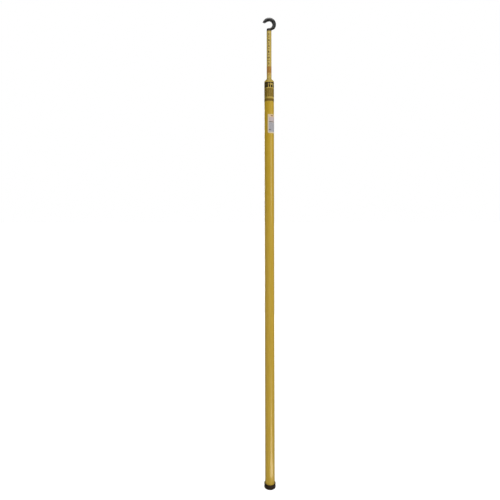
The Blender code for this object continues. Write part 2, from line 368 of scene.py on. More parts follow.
def spread(tree, value, low, high, first=0.0, last=1.0):
    """A value's stretch from low to high, spread over first to last and held at its ends."""
    return add(tree, "ShaderNodeMapRange", {"Value": value, "From Min": low, "From Max": high,
                                            "To Min": first, "To Max": last}).outputs["Result"]


def blend_colours(tree, share, first, second):
    """Two colours, each a hex value or a socket, mixed by a share."""
    sides = [linear(side) if isinstance(side, str) else side for side in (first, second)]
    return add(tree, "ShaderNodeMix", {0: share, 6: sides[0], 7: sides[1]},
               data_type="RGBA").outputs[2]


def bump(tree, shader, height, depth):
    """Raises the surface by a height from 0 to 1 times a depth in metres."""
    raised = add(tree, "ShaderNodeBump", {"Height": height, "Distance": depth, "Strength": 1.0})
    feed(tree, shader, {"Normal": raised.outputs["Normal"]})


def white_floor():
    """Translucent white sheet lit from below: even and matt, and dim where gloss would mirror it."""
    made, tree, shader, places = new_material("lit_white_sheet")
    colour = blend_colours(tree, noise(tree, places, 0.004), "8C8C8B", "909090")
    feed(tree, shader, {"Base Color": colour, "Roughness": 0.9, "Emission Color": linear("FFFFFF"),
                        "Emission Strength": 0.8})
    mirrored = add(tree, "ShaderNodeEmission", {"Color": linear(ROOM_COLOUR),
                                                "Strength": ROOM_STRENGTHS[1]})
    glossy = add(tree, "ShaderNodeLightPath").outputs["Is Glossy Ray"]
    both = add(tree, "ShaderNodeMixShader", {0: glossy, 1: shader.outputs[0], 2: mirrored.outputs[0]})
    tree.links.new(both.outputs[0], tree.nodes["Material Output"].inputs["Surface"])
    return made


def fibreglass(name, resin, fibre, worn, gloss):
    """Pigmented glass-fibre tube, pulled and polished: long pale fibres under a satin resin skin.

    The fibre bundles are 0.9 mm wide and drawn out along the tube, the colour drifts slowly along
    it, and sliding has left fine lengthwise scuffs that are paler and less glossy.
    """
    made, tree, shader, places = new_material(name)
    bundles = noise(tree, places, 0.0009, detail=3.0, length=0.060)
    drift = noise(tree, places, 0.030, length=0.090)
    scuffs = spread(tree, noise(tree, places, 0.0005, length=0.018), 0.62, 0.74)
    skin = blend_colours(tree, spread(tree, bundles, 0.35, 0.7), resin, fibre)
    toned = blend_colours(tree, spread(tree, drift, 0.35, 0.65, 0.0, 0.35), skin, resin)
    colour = blend_colours(tree, calc(tree, "MULTIPLY", scuffs, 0.35), toned, worn)
    rough = calc(tree, "MULTIPLY_ADD", scuffs, 0.14, gloss)
    feed(tree, shader, {"Base Color": colour, "Roughness": rough, "IOR": 1.52})
    bump(tree, shader, bundles, 0.00003)
    return made


def cut_laminate():
    """Cut edge of the fibreglass: dry chopped fibre ends, paler than the skin and quite matt."""
    made, tree, shader, places = new_material("cut_fibreglass_edge")
    ends = noise(tree, places, 0.0003, detail=3.0)
    colour = blend_colours(tree, spread(tree, ends, 0.3, 0.7), "8E7A3C", "C9B47A")
    feed(tree, shader, {"Base Color": colour, "Roughness": 0.75})
    bump(tree, shader, ends, 0.00004)
    return made


def tube_bore():
    """Inside of a tube: unpolished resin over the fibres, darker and dusty."""
    made, tree, shader, places = new_material("unpolished_fibreglass_bore")
    bundles = noise(tree, places, 0.0012, detail=3.0, length=0.040)
    feed(tree, shader, {"Base Color": blend_colours(tree, bundles, "6E5A22", "9A8340"), "Roughness": 0.6})
    bump(tree, shader, bundles, 0.00005)
    return made


def moulded_nylon(name, dark, light, grain, gloss, mouth=None):
    """Injection-moulded nylon: a fine spark-eroded grain with slow flow marks in its gloss.

    Just above a tube's mouth, where its height is given, the yellow tube's warm reflection is painted on
    as brown, and the surface is made matt.
    """
    made, tree, shader, places = new_material(name)
    fine = noise(tree, places, grain)
    flow = noise(tree, places, 0.012, detail=3.0)
    rubbed = spread(tree, noise(tree, places, 0.0035, detail=4.0), 0.60, 0.78)
    base = blend_colours(tree, spread(tree, flow, 0.35, 0.65), dark, light)
    colour = blend_colours(tree, calc(tree, "MULTIPLY", rubbed, 0.30), base, "8A8A88")
    rough = spread(tree, flow, 0.3, 0.7, gloss - 0.05, gloss + 0.08)
    if mouth is not None:
        height = add(tree, "ShaderNodeSeparateXYZ", {"Vector": places}).outputs["Z"]
        # Painted reflection: brown near the mouth stands in for the yellow tube's warm light on the
        # hook's lip
        near = spread(tree, height, mouth + PAINTED_BOUNCE_FULL_HEIGHT, mouth + PAINTED_BOUNCE_HEIGHT, 1.0, 0.0)
        colour = blend_colours(tree, near, colour, "24180A")
        rough = calc(tree, "MULTIPLY_ADD", near, 0.4, rough)
    feed(tree, shader, {"Base Color": colour, "Roughness": rough, "IOR": 1.53})
    bump(tree, shader, fine, 0.00001)
    return made


def black_rubber():
    """Moulded natural rubber: matt black gone slightly brown, with pale dust near the ground."""
    made, tree, shader, places = new_material("moulded_black_rubber")
    height = add(tree, "ShaderNodeSeparateXYZ", {"Vector": places}).outputs["Z"]
    low = spread(tree, height, 0.0, 0.006, 1.0, 0.0)
    patches = spread(tree, noise(tree, places, 0.004, detail=4.0), 0.42, 0.68)
    dust = calc(tree, "MULTIPLY", low, patches)
    bloom = blend_colours(tree, noise(tree, places, 0.009, detail=3.0), "22170D", "302112")
    colour = blend_colours(tree, calc(tree, "MULTIPLY", dust, 0.35), bloom, "5A4E40")
    rough = spread(tree, dust, 0.0, 1.0, 0.62, 0.9)
    feed(tree, shader, {"Base Color": colour, "Roughness": rough, "Specular IOR Level": 0.2})
    bump(tree, shader, noise(tree, places, 0.0004, detail=3.0), 0.00004)
    return made


def metal(name, dark, light, roughness, grain, length):
    """Drawn or turned metal: fine lines left by the die or the tool in its colour and gloss."""
    made, tree, shader, places = new_material(name)
    lines = noise(tree, places, grain, detail=3.0, length=length)
    colour = blend_colours(tree, lines, dark, light)
    rough = spread(tree, lines, 0.3, 0.7, roughness - 0.06, roughness + 0.08)
    feed(tree, shader, {"Base Color": colour, "Roughness": rough, "Metallic": 1.0})
    bump(tree, shader, lines, 0.00001)
    return made


def closed_foam():
    """Closed-cell urethane foam: cut cells half a millimetre across in a pale, dry body."""
    made, tree, shader, places = new_material("urethane_foam")
    cells = add(tree, "ShaderNodeTexVoronoi", {"Vector": places, "Scale": 2000.0}).outputs["Distance"]
    feed(tree, shader, {"Base Color": blend_colours(tree, cells, "B9A468", "E2D3A0"), "Roughness": 0.95})
    bump(tree, shader, cells, 0.0001)
    return made


def ink(name, full, worn, wear):
    """Screen-printed ink on the resin: near matt, thinned in fine specks where hands have rubbed."""
    made, tree, shader, places = new_material(name)
    specks = spread(tree, noise(tree, places, 0.0006, detail=4.0), 0.5, 0.75, 0.0, wear)
    feed(tree, shader, {"Base Color": blend_colours(tree, specks, full, worn), "Roughness": 0.55,
                        "Specular IOR Level": 0.25})
    return made


def printed_film(name, plain, aged, gloss):
    """Thin printed vinyl film: smooth, slightly yellowed in slow patches."""
    made, tree, shader, places = new_material(name)
    patches = spread(tree, noise(tree, places, 0.010, detail=3.0), 0.35, 0.7)
    feed(tree, shader, {"Base Color": blend_colours(tree, patches, plain, aged), "Roughness": gloss})
    bump(tree, shader, noise(tree, places, 0.002), 0.00002)
    return made


def new_piece(name, shape, *materials):
    """An object at the origin with this shape: outward faces, smooth but for its sharp edges."""
    bmesh.ops.recalc_face_normals(shape, faces=shape.faces)
    mesh = bpy.data.meshes.new(name)
    shape.to_mesh(mesh)
    shape.free()
    for surface in materials:
        mesh.materials.append(surface)
    mesh.shade_smooth()
    mesh.set_sharp_from_angle(angle=SHARP_ANGLE)
    return new_object(name, mesh)


def settle(piece, body, slot, *nodes):
    """Fixes a finished piece to its body and hides what it stands for; its slot is not used."""
    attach(piece, body)
    if nodes:
        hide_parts(*nodes)


def plain_mesh(piece):
    """A mesh of what a piece's curve, text or modifiers make."""
    return bpy.data.meshes.new_from_object(piece.evaluated_get(bpy.context.evaluated_depsgraph_get()))


def shape_from(name, data):
    """The shape of a curve or a text."""
    maker = new_object(name, data)
    mesh = plain_mesh(maker)
    bpy.data.objects.remove(maker)
    shape = bmesh.new()
    shape.from_mesh(mesh)
    return shape


def harden(piece):
    """Turns what a piece's modifiers make into its own plain mesh."""
    mesh = plain_mesh(piece)
    piece.modifiers.clear()
    piece.data = mesh


def combine(piece, shape, operation, *materials):
    """Joins a shape to a piece, or takes it out of the piece, for good."""
    other = new_piece("other", shape, *materials)
    modifier = piece.modifiers.new("combine", "BOOLEAN")
    modifier.operation = operation
    modifier.solver = "EXACT"
    modifier.object = other
    harden(piece)
    bpy.data.objects.remove(other)
    piece.data.shade_smooth()
    piece.data.set_sharp_from_angle(angle=SHARP_ANGLE)


def drill(piece, radius, start, end, turn, height):
    """Takes a round hole out of a piece, along a turned axis at this height."""
    bar = turned([(radius, start), (radius, end)], HOLE_SIDES)
    combine(piece, laid(bar, turn, height), "DIFFERENCE")


def drill_for_pin(piece, reach):
    """Takes the cross pin's hole out of a piece that reaches this far from its axis."""
    drill(piece, PIN_RADIUS + SEAT_GAP, -2.0 * reach, 2.0 * reach, TO_SIDE, middle_height("hook_pin"))


def rounded(corners, closed=False):
    """An outline of (across, up, rounding radius) corners with its roundings drawn as arcs."""
    points = []
    for i, (across, up, radius) in enumerate(corners):
        corner = Vector((across, up))
        at_end = not closed and i in (0, len(corners) - 1)
        if radius == 0.0 or at_end:
            points.append(corner)
            continue
        back = (Vector(corners[i - 1][:2]) - corner).normalized()
        ahead = (Vector(corners[(i + 1) % len(corners)][:2]) - corner).normalized()
        half = back.angle(ahead) / 2.0
        centre = corner + (back + ahead).normalized() * radius / math.sin(half)
        start = corner + back * radius / math.tan(half) - centre
        end = corner + ahead * radius / math.tan(half) - centre
        turn = start.angle_signed(end)
        for step in range(ROUND_STEPS + 1):
            points.append(centre + Matrix.Rotation(-turn * step / ROUND_STEPS, 2) @ start)
    return [(point.x, point.y) for point in points]


def turned(outline, sides, hollow=False):
    """A shape turned about Z from points that run up its outside; a hollow one's come back down.

    A point on the axis becomes a pole, and an open outline is closed by a flat face at each end.
    """
    shape = bmesh.new()
    rings = []
    for radius, height in outline:
        if radius == 0.0:
            rings.append([shape.verts.new((0.0, 0.0, height))])
            continue
        angles = [math.tau * i / sides for i in range(sides)]
        rings.append([shape.verts.new((radius * math.sin(a), -radius * math.cos(a), height))
                      for a in angles])
    pairs = list(zip(rings, rings[1:]))
    if hollow:
        pairs.append((rings[-1], rings[0]))
    else:
        for end in (rings[0], rings[-1]):
            if len(end) > 1:
                shape.faces.new(end)
    for low, high in pairs:
        for i in range(sides):
            under = [low[i - 1], low[i]] if len(low) > 1 else low
            over = [high[i], high[i - 1]] if len(high) > 1 else high
            shape.faces.new(under + over)
    return shape


def laid(shape, turn, height):
    """Turns a shape that stands along Z and lifts it to this height."""
    shape.transform(Matrix.Translation((0.0, 0.0, height)) @ turn)
    return shape


def outer_radius(node):
    """A turned solid's true radius: its box touches the middle of its facets."""
    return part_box(node)[1].y / math.cos(math.pi / CAD_SIDES)


def middle_height(node):
    """Height of the middle of a node's box."""
    low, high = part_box(node)
    return (low.z + high.z) / 2.0


def body_name(number):
    """Body of a tube: 0 is the base and the last one is the tip."""
    return {0: "base", SLIDING_TUBES: "tip"}.get(number, f"slide_{number}")


def tube_name(number):
    """Node of a tube."""
    return {0: "base_tube", SLIDING_TUBES: "tip_tube"}.get(number, f"slide_tube_{number}")


def tube_piece(number, skin, edge, bore):
    """A tube with rounded mouth edges, its button's hole and the lock hole for the next one."""
    node = tube_name(number)
    radius = outer_radius(node)
    low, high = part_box(node)
    inside = radius - TUBE_WALL
    holes = []
    if number < SLIDING_TUBES:
        holes.append(high.z - LOCK_INSET)
    if number > 0:
        holes.append(middle_height(f"lock_button_{number}"))
    rims = sorted(height + side for height in holes for side in (-HOLE_COLLAR, HOLE_COLLAR))
    outside_rims = [(radius, height, 0.0) for height in rims]
    bore_rims = [(inside, height, 0.0) for height in reversed(rims)]
    corners = [(radius, low.z, BORE_ROUNDING), *outside_rims, (radius, high.z, MOUTH_ROUNDING),
               (inside, high.z, BORE_ROUNDING), *bore_rims, (inside, low.z, BORE_ROUNDING)]
    shape = turned(rounded(corners, closed=True), TUBE_SIDES, hollow=True)
    piece = new_piece(f"{node}_skin", shape, skin, edge, bore)
    for height in holes:
        drill(piece, HOLE_RADIUS, 0.0, 2.0 * radius, TO_BACK, height)
    if number == SLIDING_TUBES:
        drill_for_pin(piece, radius)
    for face in piece.data.polygons:
        across = Vector((face.center.x, face.center.y)).normalized()
        facing = across.x * face.normal.x + across.y * face.normal.y
        if abs(facing) < SKIN_FACING:
            face.material_index = 1
        elif facing < 0.0:
            face.material_index = 2
    settle(piece, body_name(number), "tube", node)


def plug_piece(number, nylon):
    """The flanged nylon plug in a tube's lower end, bored for its button."""
    node = "base_plug" if number == 0 else f"end_plug_{number}"
    low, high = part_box(node)
    flange = outer_radius(node)
    body = flange - TUBE_WALL - SEAT_GAP
    corners = [(0.0, low.z, 0.0), (flange, low.z, PLUG_ROUNDING),
               (flange, low.z + FLANGE_HEIGHT, PLUG_ROUNDING / 4.0),
               (body, low.z + FLANGE_HEIGHT, 0.0), (body, high.z, PLUG_ROUNDING), (0.0, high.z, 0.0)]
    piece = new_piece(f"{node}_moulding", turned(rounded(corners), TUBE_SIDES), nylon)
    if number > 0:
        spring_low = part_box(f"button_spring_{number}")[0]
        drill(piece, SHOULDER_RADIUS + SEAT_GAP, spring_low.y - SEAT_GAP, 2.0 * flange, TO_BACK,
              middle_height(f"lock_button_{number}"))
    settle(piece, body_name(number), "plug", node)


def button_piece(number, brass):
    """The domed brass button with its shoulder."""
    node = f"lock_button_{number}"
    low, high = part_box(node)
    fall = BUTTON_RADIUS - BUTTON_CREST_RADIUS
    dome = []
    for step in range(2 * ROUND_STEPS + 1):
        angle = math.radians(90.0) * step / (2 * ROUND_STEPS)
        dome.append((BUTTON_CREST_RADIUS + fall * math.cos(angle),
                     high.y + BUTTON_DOME * (math.sin(angle) - 1.0)))
    outline = [(0.0, low.y), (SHOULDER_RADIUS, low.y), (SHOULDER_RADIUS, low.y + SHOULDER_THICKNESS),
               (BUTTON_RADIUS, low.y + SHOULDER_THICKNESS), *dome, (0.0, high.y)]
    shape = laid(turned(outline, SMALL_SIDES), TO_BACK, middle_height(node))
    settle(new_piece(f"{node}_turned", shape, brass), f"button_{number}", "button", node)


def spring_piece(number, steel):
    """The coil spring behind a button, of round wire."""
    node = f"button_spring_{number}"
    low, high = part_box(node)
    curve = bpy.data.curves.new(node, "CURVE")
    curve.dimensions = "3D"
    curve.bevel_depth = SPRING_WIRE_RADIUS
    curve.bevel_resolution = WIRE_RESOLUTION
    curve.use_fill_caps = True
    spline = curve.splines.new("POLY")
    steps = round(SPRING_TURNS * SPRING_TURN_STEPS)
    spline.points.add(steps)
    run = high.y - low.y - 2.0 * SPRING_WIRE_RADIUS
    for i, point in enumerate(spline.points):
        angle = math.tau * SPRING_TURNS * i / steps
        point.co = (SPRING_RADIUS * math.cos(angle), high.y - SPRING_WIRE_RADIUS - run * i / steps,
                    middle_height(f"lock_button_{number}") - SPRING_RADIUS * math.sin(angle), 1.0)
    wire = new_piece(f"{node}_wire", shape_from(f"{node}_wire", curve), steel)
    settle(wire, body_name(number), "spring", node)
    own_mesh(wire)


def hook_pin_piece(steel):
    """The cross pin, drawn bar with its ends broken."""
    low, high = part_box("hook_pin")
    corners = [(0.0, low.x, 0.0), (PIN_RADIUS, low.x, PIN_ROUNDING), (PIN_RADIUS, high.x, PIN_ROUNDING),
               (0.0, high.x, 0.0)]
    shape = laid(turned(rounded(corners), SMALL_SIDES), TO_SIDE, middle_height("hook_pin"))
    settle(new_piece("hook_pin_drawn", shape, steel), "tip", "spring", "hook_pin")


def core_piece(foam):
    """The foam core that fills the tip tube between its plug and the hook's shank."""
    low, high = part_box("tip_core")
    radius = outer_radius("tip_core")
    corners = [(0.0, low.z, 0.0), (radius, low.z, PIN_ROUNDING), (radius, high.z, PIN_ROUNDING),
               (0.0, high.z, 0.0)]
    settle(new_piece("tip_core_foam", turned(rounded(corners), SMALL_SIDES), foam), "tip", "core",
           "tip_core")


def foot_piece(rubber):
    """The rubber cup: a rounded rim bead, a slightly waisted wall and rings of tread below."""
    low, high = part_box("foot_cap")
    outside = high.y
    bore = outer_radius("base_tube") + SEAT_GAP
    waist = outside - FOOT_WAIST
    bead = high.z - FOOT_BEAD_HEIGHT
    tread = []
    for middle in FOOT_TREAD_RADII:
        for across, up in ((-0.5, 0.0), (-0.3, 1.0), (0.3, 1.0), (0.5, 0.0)):
            tread.append((middle + across * FOOT_TREAD_WIDTH, low.z + up * FOOT_TREAD_DEPTH, 0.0))
    skirt = low.z + FOOT_BEAD_HEIGHT
    corners = [(0.0, low.z, 0.0), *tread, (outside, low.z, FOOT_BASE_ROUNDING),
               (outside, skirt, FOOT_BEAD_ROUNDING), (waist, skirt + FOOT_WAIST, FOOT_BEAD_ROUNDING),
               (waist, bead - FOOT_WAIST, FOOT_BEAD_ROUNDING), (outside, bead, FOOT_BEAD_ROUNDING),
               (outside, high.z, FOOT_RIM_ROUNDING), (bore, high.z, FOOT_RIM_ROUNDING / 2.0),
               (bore, low.z + FOOT_FLOOR, FOOT_BEAD_ROUNDING), (0.0, low.z + FOOT_FLOOR, 0.0)]
    shape = turned(rounded(corners), TUBE_SIDES)
    settle(new_piece("foot_cap_moulding", shape, rubber), "base", "foot", "foot_cap")


def between(start, end, share):
    """The point or number this share of the way from one to the other."""
    if isinstance(start, tuple):
        return tuple(a + (b - a) * share for a, b in zip(start, end))
    return start + (end - start) * share


def on_arc(centre, radius, first, last, share):
    """The point this share of the way along an arc whose ends are angles in degrees."""
    angle = math.radians(first + (last - first) * share)
    return (centre[0] + radius * math.cos(angle), centre[1] + radius * math.sin(angle))


def smooth_run(points, rounds):
    """A run of points with its kinks eased, its two ends held."""
    for _ in range(rounds):
        inner = [between(between(a, c, 0.5), b, 0.5) for a, b, c in zip(points, points[1:], points[2:])]
        points = [points[0], *inner, points[-1]]
    return points


def hook_stations(radius):
    """(inner edge, outer edge, depth, squareness) of the hook's cross-sections, mouth to claw.

    The two edges run round the throat and the back, then the lower one leaves the throat for the
    level underside of the beak, while the upper one keeps to the back until the brow.
    """
    throat = (HOOK_THROAT_CENTRE, HOOK_THROAT_RADIUS, HOOK_SILL_ANGLE, HOOK_PALATE_ANGLE)
    back = (HOOK_OUTER_CENTRE, HOOK_OUTER_RADIUS, HOOK_HEEL_ANGLE, HOOK_CREST_ANGLE)
    forehead = (HOOK_OUTER_CENTRE, HOOK_OUTER_RADIUS, HOOK_CREST_ANGLE, HOOK_BROW_ANGLE)
    lip = (HOOK_LIP_INSET - radius, HOOK_LIP_HEIGHT)
    ankle = (radius + HOOK_ANKLE[0], HOOK_ANKLE[1])
    brow = on_arc(*forehead, 1.0)
    slope = math.radians(HOOK_BROW_ANGLE)
    claw = (brow[0] - HOOK_CLAW_LENGTH * math.sin(slope), brow[1] + HOOK_CLAW_LENGTH * math.cos(slope))
    beak = (claw[0] + HOOK_BEAK_LENGTH, claw[1])
    under_tip = (claw[0] + HOOK_CLAW_TIP, claw[1])
    over_tip = between(claw, brow, HOOK_CLAW_TIP / HOOK_CLAW_LENGTH)

    mouth = (2.0 * radius, ELLIPSE)
    neck = (radius + HOOK_DEPTH / 2.0, (ELLIPSE + HOOK_SQUARENESS) / 2.0)
    ring = (HOOK_DEPTH, HOOK_SQUARENESS)
    tip = (HOOK_CLAW_DEPTH, HOOK_SQUARENESS)
    spans = (
        (HOOK_NECK_STEPS, mouth, neck, lambda share: between((-radius, SEAT_GAP), lip, share),
         lambda share: between((radius, SEAT_GAP), ankle, share)),
        (HOOK_NECK_STEPS, neck, ring, lambda share: between(lip, on_arc(*throat, 0.0), share),
         lambda share: between(ankle, on_arc(*back, 0.0), share)),
        (HOOK_RING_STEPS, ring, ring, lambda share: on_arc(*throat, share),
         lambda share: on_arc(*back, share)),
        (HOOK_BEAK_STEPS, ring, ring, lambda share: between(on_arc(*throat, 1.0), beak, share),
         lambda share: on_arc(*forehead, share)),
        (HOOK_BEAK_STEPS, ring, tip, lambda share: between(beak, under_tip, share),
         lambda share: between(brow, over_tip, share)))
    stations = []
    for steps, first, last, inner, outer in spans:
        for step in range(steps):
            share = step / steps
            stations.append((inner(share), outer(share), *between(first, last, share)))
    return [*stations, (under_tip, over_tip, *tip)]


def hook_section(inner, outer, depth, squareness):
    """A rounded cross-section between two edges, with the mould's seam raised along both."""
    middle = between(inner, outer, 0.5)
    points = []
    seam_turn = SEAM_WIDTH / depth
    seam = [side + turn for side in (0.0, math.pi) for turn in (-seam_turn, seam_turn)]
    plain = [math.tau * i / HOOK_SIDES for i in range(HOOK_SIDES)]
    length = math.dist(inner, outer)
    for angle in sorted(angle % math.tau for angle in plain + seam):
        across, along = math.cos(angle), math.sin(angle)
        on_seam = abs(along) < SEAM_TOLERANCE
        across = math.copysign(abs(across) ** (2.0 / squareness), across)
        along = math.copysign(abs(along) ** (2.0 / squareness), along)
        reach = across * (1.0 if on_seam else 1.0 - 2.0 * SEAM_HEIGHT / length) / 2.0
        points.append((middle[0] + reach * (outer[0] - inner[0]), along * depth / 2.0,
                       middle[1] + reach * (outer[1] - inner[1])))
    return points


def hook_tip(inner, outer, depth, squareness):
    """The last, smaller cross-section, which rounds the claw's end off."""
    share = HOOK_TIP_ROUNDING / math.dist(inner, outer)
    return (between(inner, outer, share), between(outer, inner, share), depth - 2.0 * HOOK_TIP_ROUNDING,
            squareness)


def hook_piece(nylon):
    """The moulded hook and the shank inside the tube that its pin goes through."""
    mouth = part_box("tip_tube")[1].z
    radius = outer_radius("tip_tube")
    shank = radius - TUBE_WALL - SEAT_GAP
    stations = hook_stations(radius)
    inner = smooth_run([station[0] for station in stations], HOOK_INNER_EASING)
    outer = smooth_run([station[1] for station in stations], HOOK_OUTER_EASING)
    shape = bmesh.new()
    rings = []
    sections = [(low, high, *form) for low, high, (_, _, *form) in zip(inner, outer, stations)]
    sections[-1] = hook_tip(*sections[-1])
    for section in sections:
        rings.append([shape.verts.new(point) for point in hook_section(*section)])
    for low, high in zip(rings, rings[1:]):
        for i in range(len(low)):
            shape.faces.new((low[i - 1], low[i], high[i], high[i - 1]))
    shape.faces.new(rings[0])
    shape.faces.new(rings[-1])
    shape.transform(Matrix.Translation((0.0, 0.0, mouth)))
    piece = new_piece("hook_moulding", shape, nylon)

    corners = [(0.0, -SHANK_LENGTH, 0.0), (shank, -SHANK_LENGTH, SHANK_ROUNDING),
               (shank, HOOK_ANKLE[1], 0.0), (0.0, HOOK_ANKLE[1], 0.0)]
    stem = turned(rounded(corners), SMALL_SIDES)
    stem.transform(Matrix.Translation((0.0, 0.0, mouth)))
    combine(piece, stem, "UNION", nylon)
    drill_for_pin(piece, radius)
    settle(piece, "tip", "hook", "hook")


def geometry_tree(name, inputs):
    """An empty Geometry Nodes tree with named inputs, and the sockets that give their values."""
    tree = bpy.data.node_groups.new(name, "GeometryNodeTree")
    tree.interface.new_socket(name="Geometry", in_out="OUTPUT", socket_type="NodeSocketGeometry")
    for label, kind in inputs.items():
        tree.interface.new_socket(name=label, in_out="INPUT", socket_type=f"NodeSocket{kind}")
    given = tree.nodes.new("NodeGroupInput").outputs
    return tree, given


def wrapped_output(tree, instances, given):
    """Realises flat prints, bends them round the tube and gives them their ink.

    A flat print lies in the XZ plane and faces -Y; X becomes the way round the tube.
    """
    real = add(tree, "GeometryNodeRealizeInstances", {"Geometry": instances}).outputs[0]
    place = add(tree, "ShaderNodeSeparateXYZ", {0: add(tree, "GeometryNodeInputPosition").outputs[0]})
    turn = calc(tree, "ADD", calc(tree, "DIVIDE", place.outputs["X"], given["Radius"]), given["Angle"])
    reach = calc(tree, "SUBTRACT", given["Radius"], place.outputs["Y"])
    back = calc(tree, "MULTIPLY", reach, -1.0)
    x = calc(tree, "MULTIPLY", reach, calc(tree, "SINE", turn))
    y = calc(tree, "MULTIPLY", back, calc(tree, "COSINE", turn))
    bent = add(tree, "ShaderNodeCombineXYZ", {"X": x, "Y": y, "Z": place.outputs["Z"]}).outputs[0]
    moved = add(tree, "GeometryNodeSetPosition", {"Geometry": real, "Position": bent}).outputs[0]
    inked = add(tree, "GeometryNodeSetMaterial", {"Geometry": moved, "Material": given["Ink"]})
    output = tree.nodes.new("NodeGroupOutput")
    tree.links.new(inked.outputs[0], output.inputs[0])
    return tree


def off_band(tree, height, given):
    """Whether a mark at this height is clear of the bare stretch round the red band."""
    above = calc(tree, "GREATER_THAN", height, given["Bare Top"], kind=COMPARE)
    below = calc(tree, "LESS_THAN", height, given["Bare Bottom"], kind=COMPARE)
    return calc(tree, "OR", above, below, kind=LOGIC)


def marks_tree():
    """Rows and columns of thin printed bars round a tube, each as wide as its own share of chance."""
    tree, given = geometry_tree("printed_marks", {
        "Columns": "Int", "Rows": "Int", "Column Pitch": "Float", "Row Pitch": "Float",
        "Least Width": "Float", "Most Width": "Float", "Mark Height": "Float", "Thickness": "Float",
        "Top": "Float", "Bare Top": "Float", "Bare Bottom": "Float", "Slices": "Int", "Seed": "Int",
        "Radius": "Float", "Angle": "Float", "Ink": "Material"})
    count = calc(tree, "MULTIPLY", given["Columns"], given["Rows"])
    points = add(tree, "GeometryNodeMeshLine", {"Count": count}).outputs[0]
    index = add(tree, "GeometryNodeInputIndex").outputs[0]
    column = calc(tree, "MODULO", index, given["Columns"])
    row = calc(tree, "FLOOR", calc(tree, "DIVIDE", index, given["Columns"]))
    x = calc(tree, "MULTIPLY", column, given["Column Pitch"])
    z = calc(tree, "SUBTRACT", given["Top"], calc(tree, "MULTIPLY", row, given["Row Pitch"]))
    depth = calc(tree, "MULTIPLY", given["Thickness"], -0.5)
    place = add(tree, "ShaderNodeCombineXYZ", {"X": x, "Y": depth, "Z": z}).outputs[0]
    set_out = add(tree, "GeometryNodeSetPosition", {"Geometry": points, "Position": place}).outputs[0]
    kept = off_band(tree, z, given)
    bar = add(tree, "GeometryNodeMeshCube", {"Vertices X": given["Slices"]}).outputs["Mesh"]
    width = add(tree, "FunctionNodeRandomValue",
                {"Min": given["Least Width"], "Max": given["Most Width"], "Seed": given["Seed"]},
                data_type="FLOAT")
    size = add(tree, "ShaderNodeCombineXYZ", {"X": width.outputs["Value"], "Y": given["Thickness"],
                                              "Z": given["Mark Height"]}).outputs[0]
    bars = add(tree, "GeometryNodeInstanceOnPoints", {"Points": set_out, "Selection": kept,
                                                      "Instance": bar, "Scale": size}).outputs[0]
    return wrapped_output(tree, bars, given)


def numerals_tree():
    """Numerals that go up by a step: the last figure alone, and the whole number at every tenth."""
    tree, given = geometry_tree("printed_numerals", {
        "Count": "Int", "Step": "Int", "Pitch": "Float", "Advance": "Float", "Top": "Float",
        "Bare Top": "Float", "Bare Bottom": "Float", "Figures": "Collection", "Radius": "Float",
        "Angle": "Float", "Ink": "Material"})
    step = calc(tree, "MULTIPLY", given["Pitch"], -1.0)
    start = add(tree, "ShaderNodeCombineXYZ", {"Z": given["Top"]}).outputs[0]
    offset = add(tree, "ShaderNodeCombineXYZ", {"Z": step}).outputs[0]
    points = add(tree, "GeometryNodeMeshLine", {"Count": given["Count"], "Start Location": start,
                                                "Offset": offset}).outputs[0]
    index = add(tree, "GeometryNodeInputIndex").outputs[0]
    number = calc(tree, "MULTIPLY_ADD", index, given["Step"], given["Step"])
    tenth = calc(tree, "LESS_THAN", calc(tree, "MODULO", number, 10.0), 0.5, kind=COMPARE)
    place = add(tree, "ShaderNodeSeparateXYZ", {0: add(tree, "GeometryNodeInputPosition").outputs[0]})
    kept = off_band(tree, place.outputs["Z"], given)
    figures = add(tree, "GeometryNodeCollectionInfo",
                  {"Collection": given["Figures"], "Separate Children": True, "Reset Children": True})
    joined = add(tree, "GeometryNodeJoinGeometry")
    for digit in range(3):
        unit = 10.0 ** digit
        figure = calc(tree, "FLOOR", calc(tree, "DIVIDE", number, unit))
        figure = calc(tree, "MODULO", figure, 10.0)
        shown = kept
        if digit > 0:
            large = calc(tree, "GREATER_THAN", number, unit - 0.5, kind=COMPARE)
            shown = calc(tree, "AND", calc(tree, "AND", kept, tenth, kind=LOGIC), large, kind=LOGIC)
        placed = add(tree, "GeometryNodeInstanceOnPoints",
                     {"Points": points, "Selection": shown, "Instance": figures.outputs[0],
                      "Pick Instance": True, "Instance Index": figure}).outputs[0]
        left = calc(tree, "MULTIPLY", given["Advance"], -float(digit))
        shift = add(tree, "ShaderNodeCombineXYZ", {"X": left}).outputs[0]
        aside = add(tree, "GeometryNodeTranslateInstances", {"Instances": placed, "Translation": shift})
        tree.links.new(aside.outputs[0], joined.inputs[0])
    return wrapped_output(tree, joined.outputs[0], given)


def printed(name, tree, values, body):
    """A print on a tube: one Geometry Nodes tree run with these values and kept as a plain mesh."""
    piece = new_object(name, bpy.data.meshes.new(name))
    modifier = piece.modifiers.new(name, "NODES")
    modifier.node_group = tree
    for item in tree.interface.items_tree:
        if item.in_out == "INPUT" and item.name in values:
            modifier[item.identifier] = values[item.name]
    harden(piece)
    settle(piece, body, "tube")


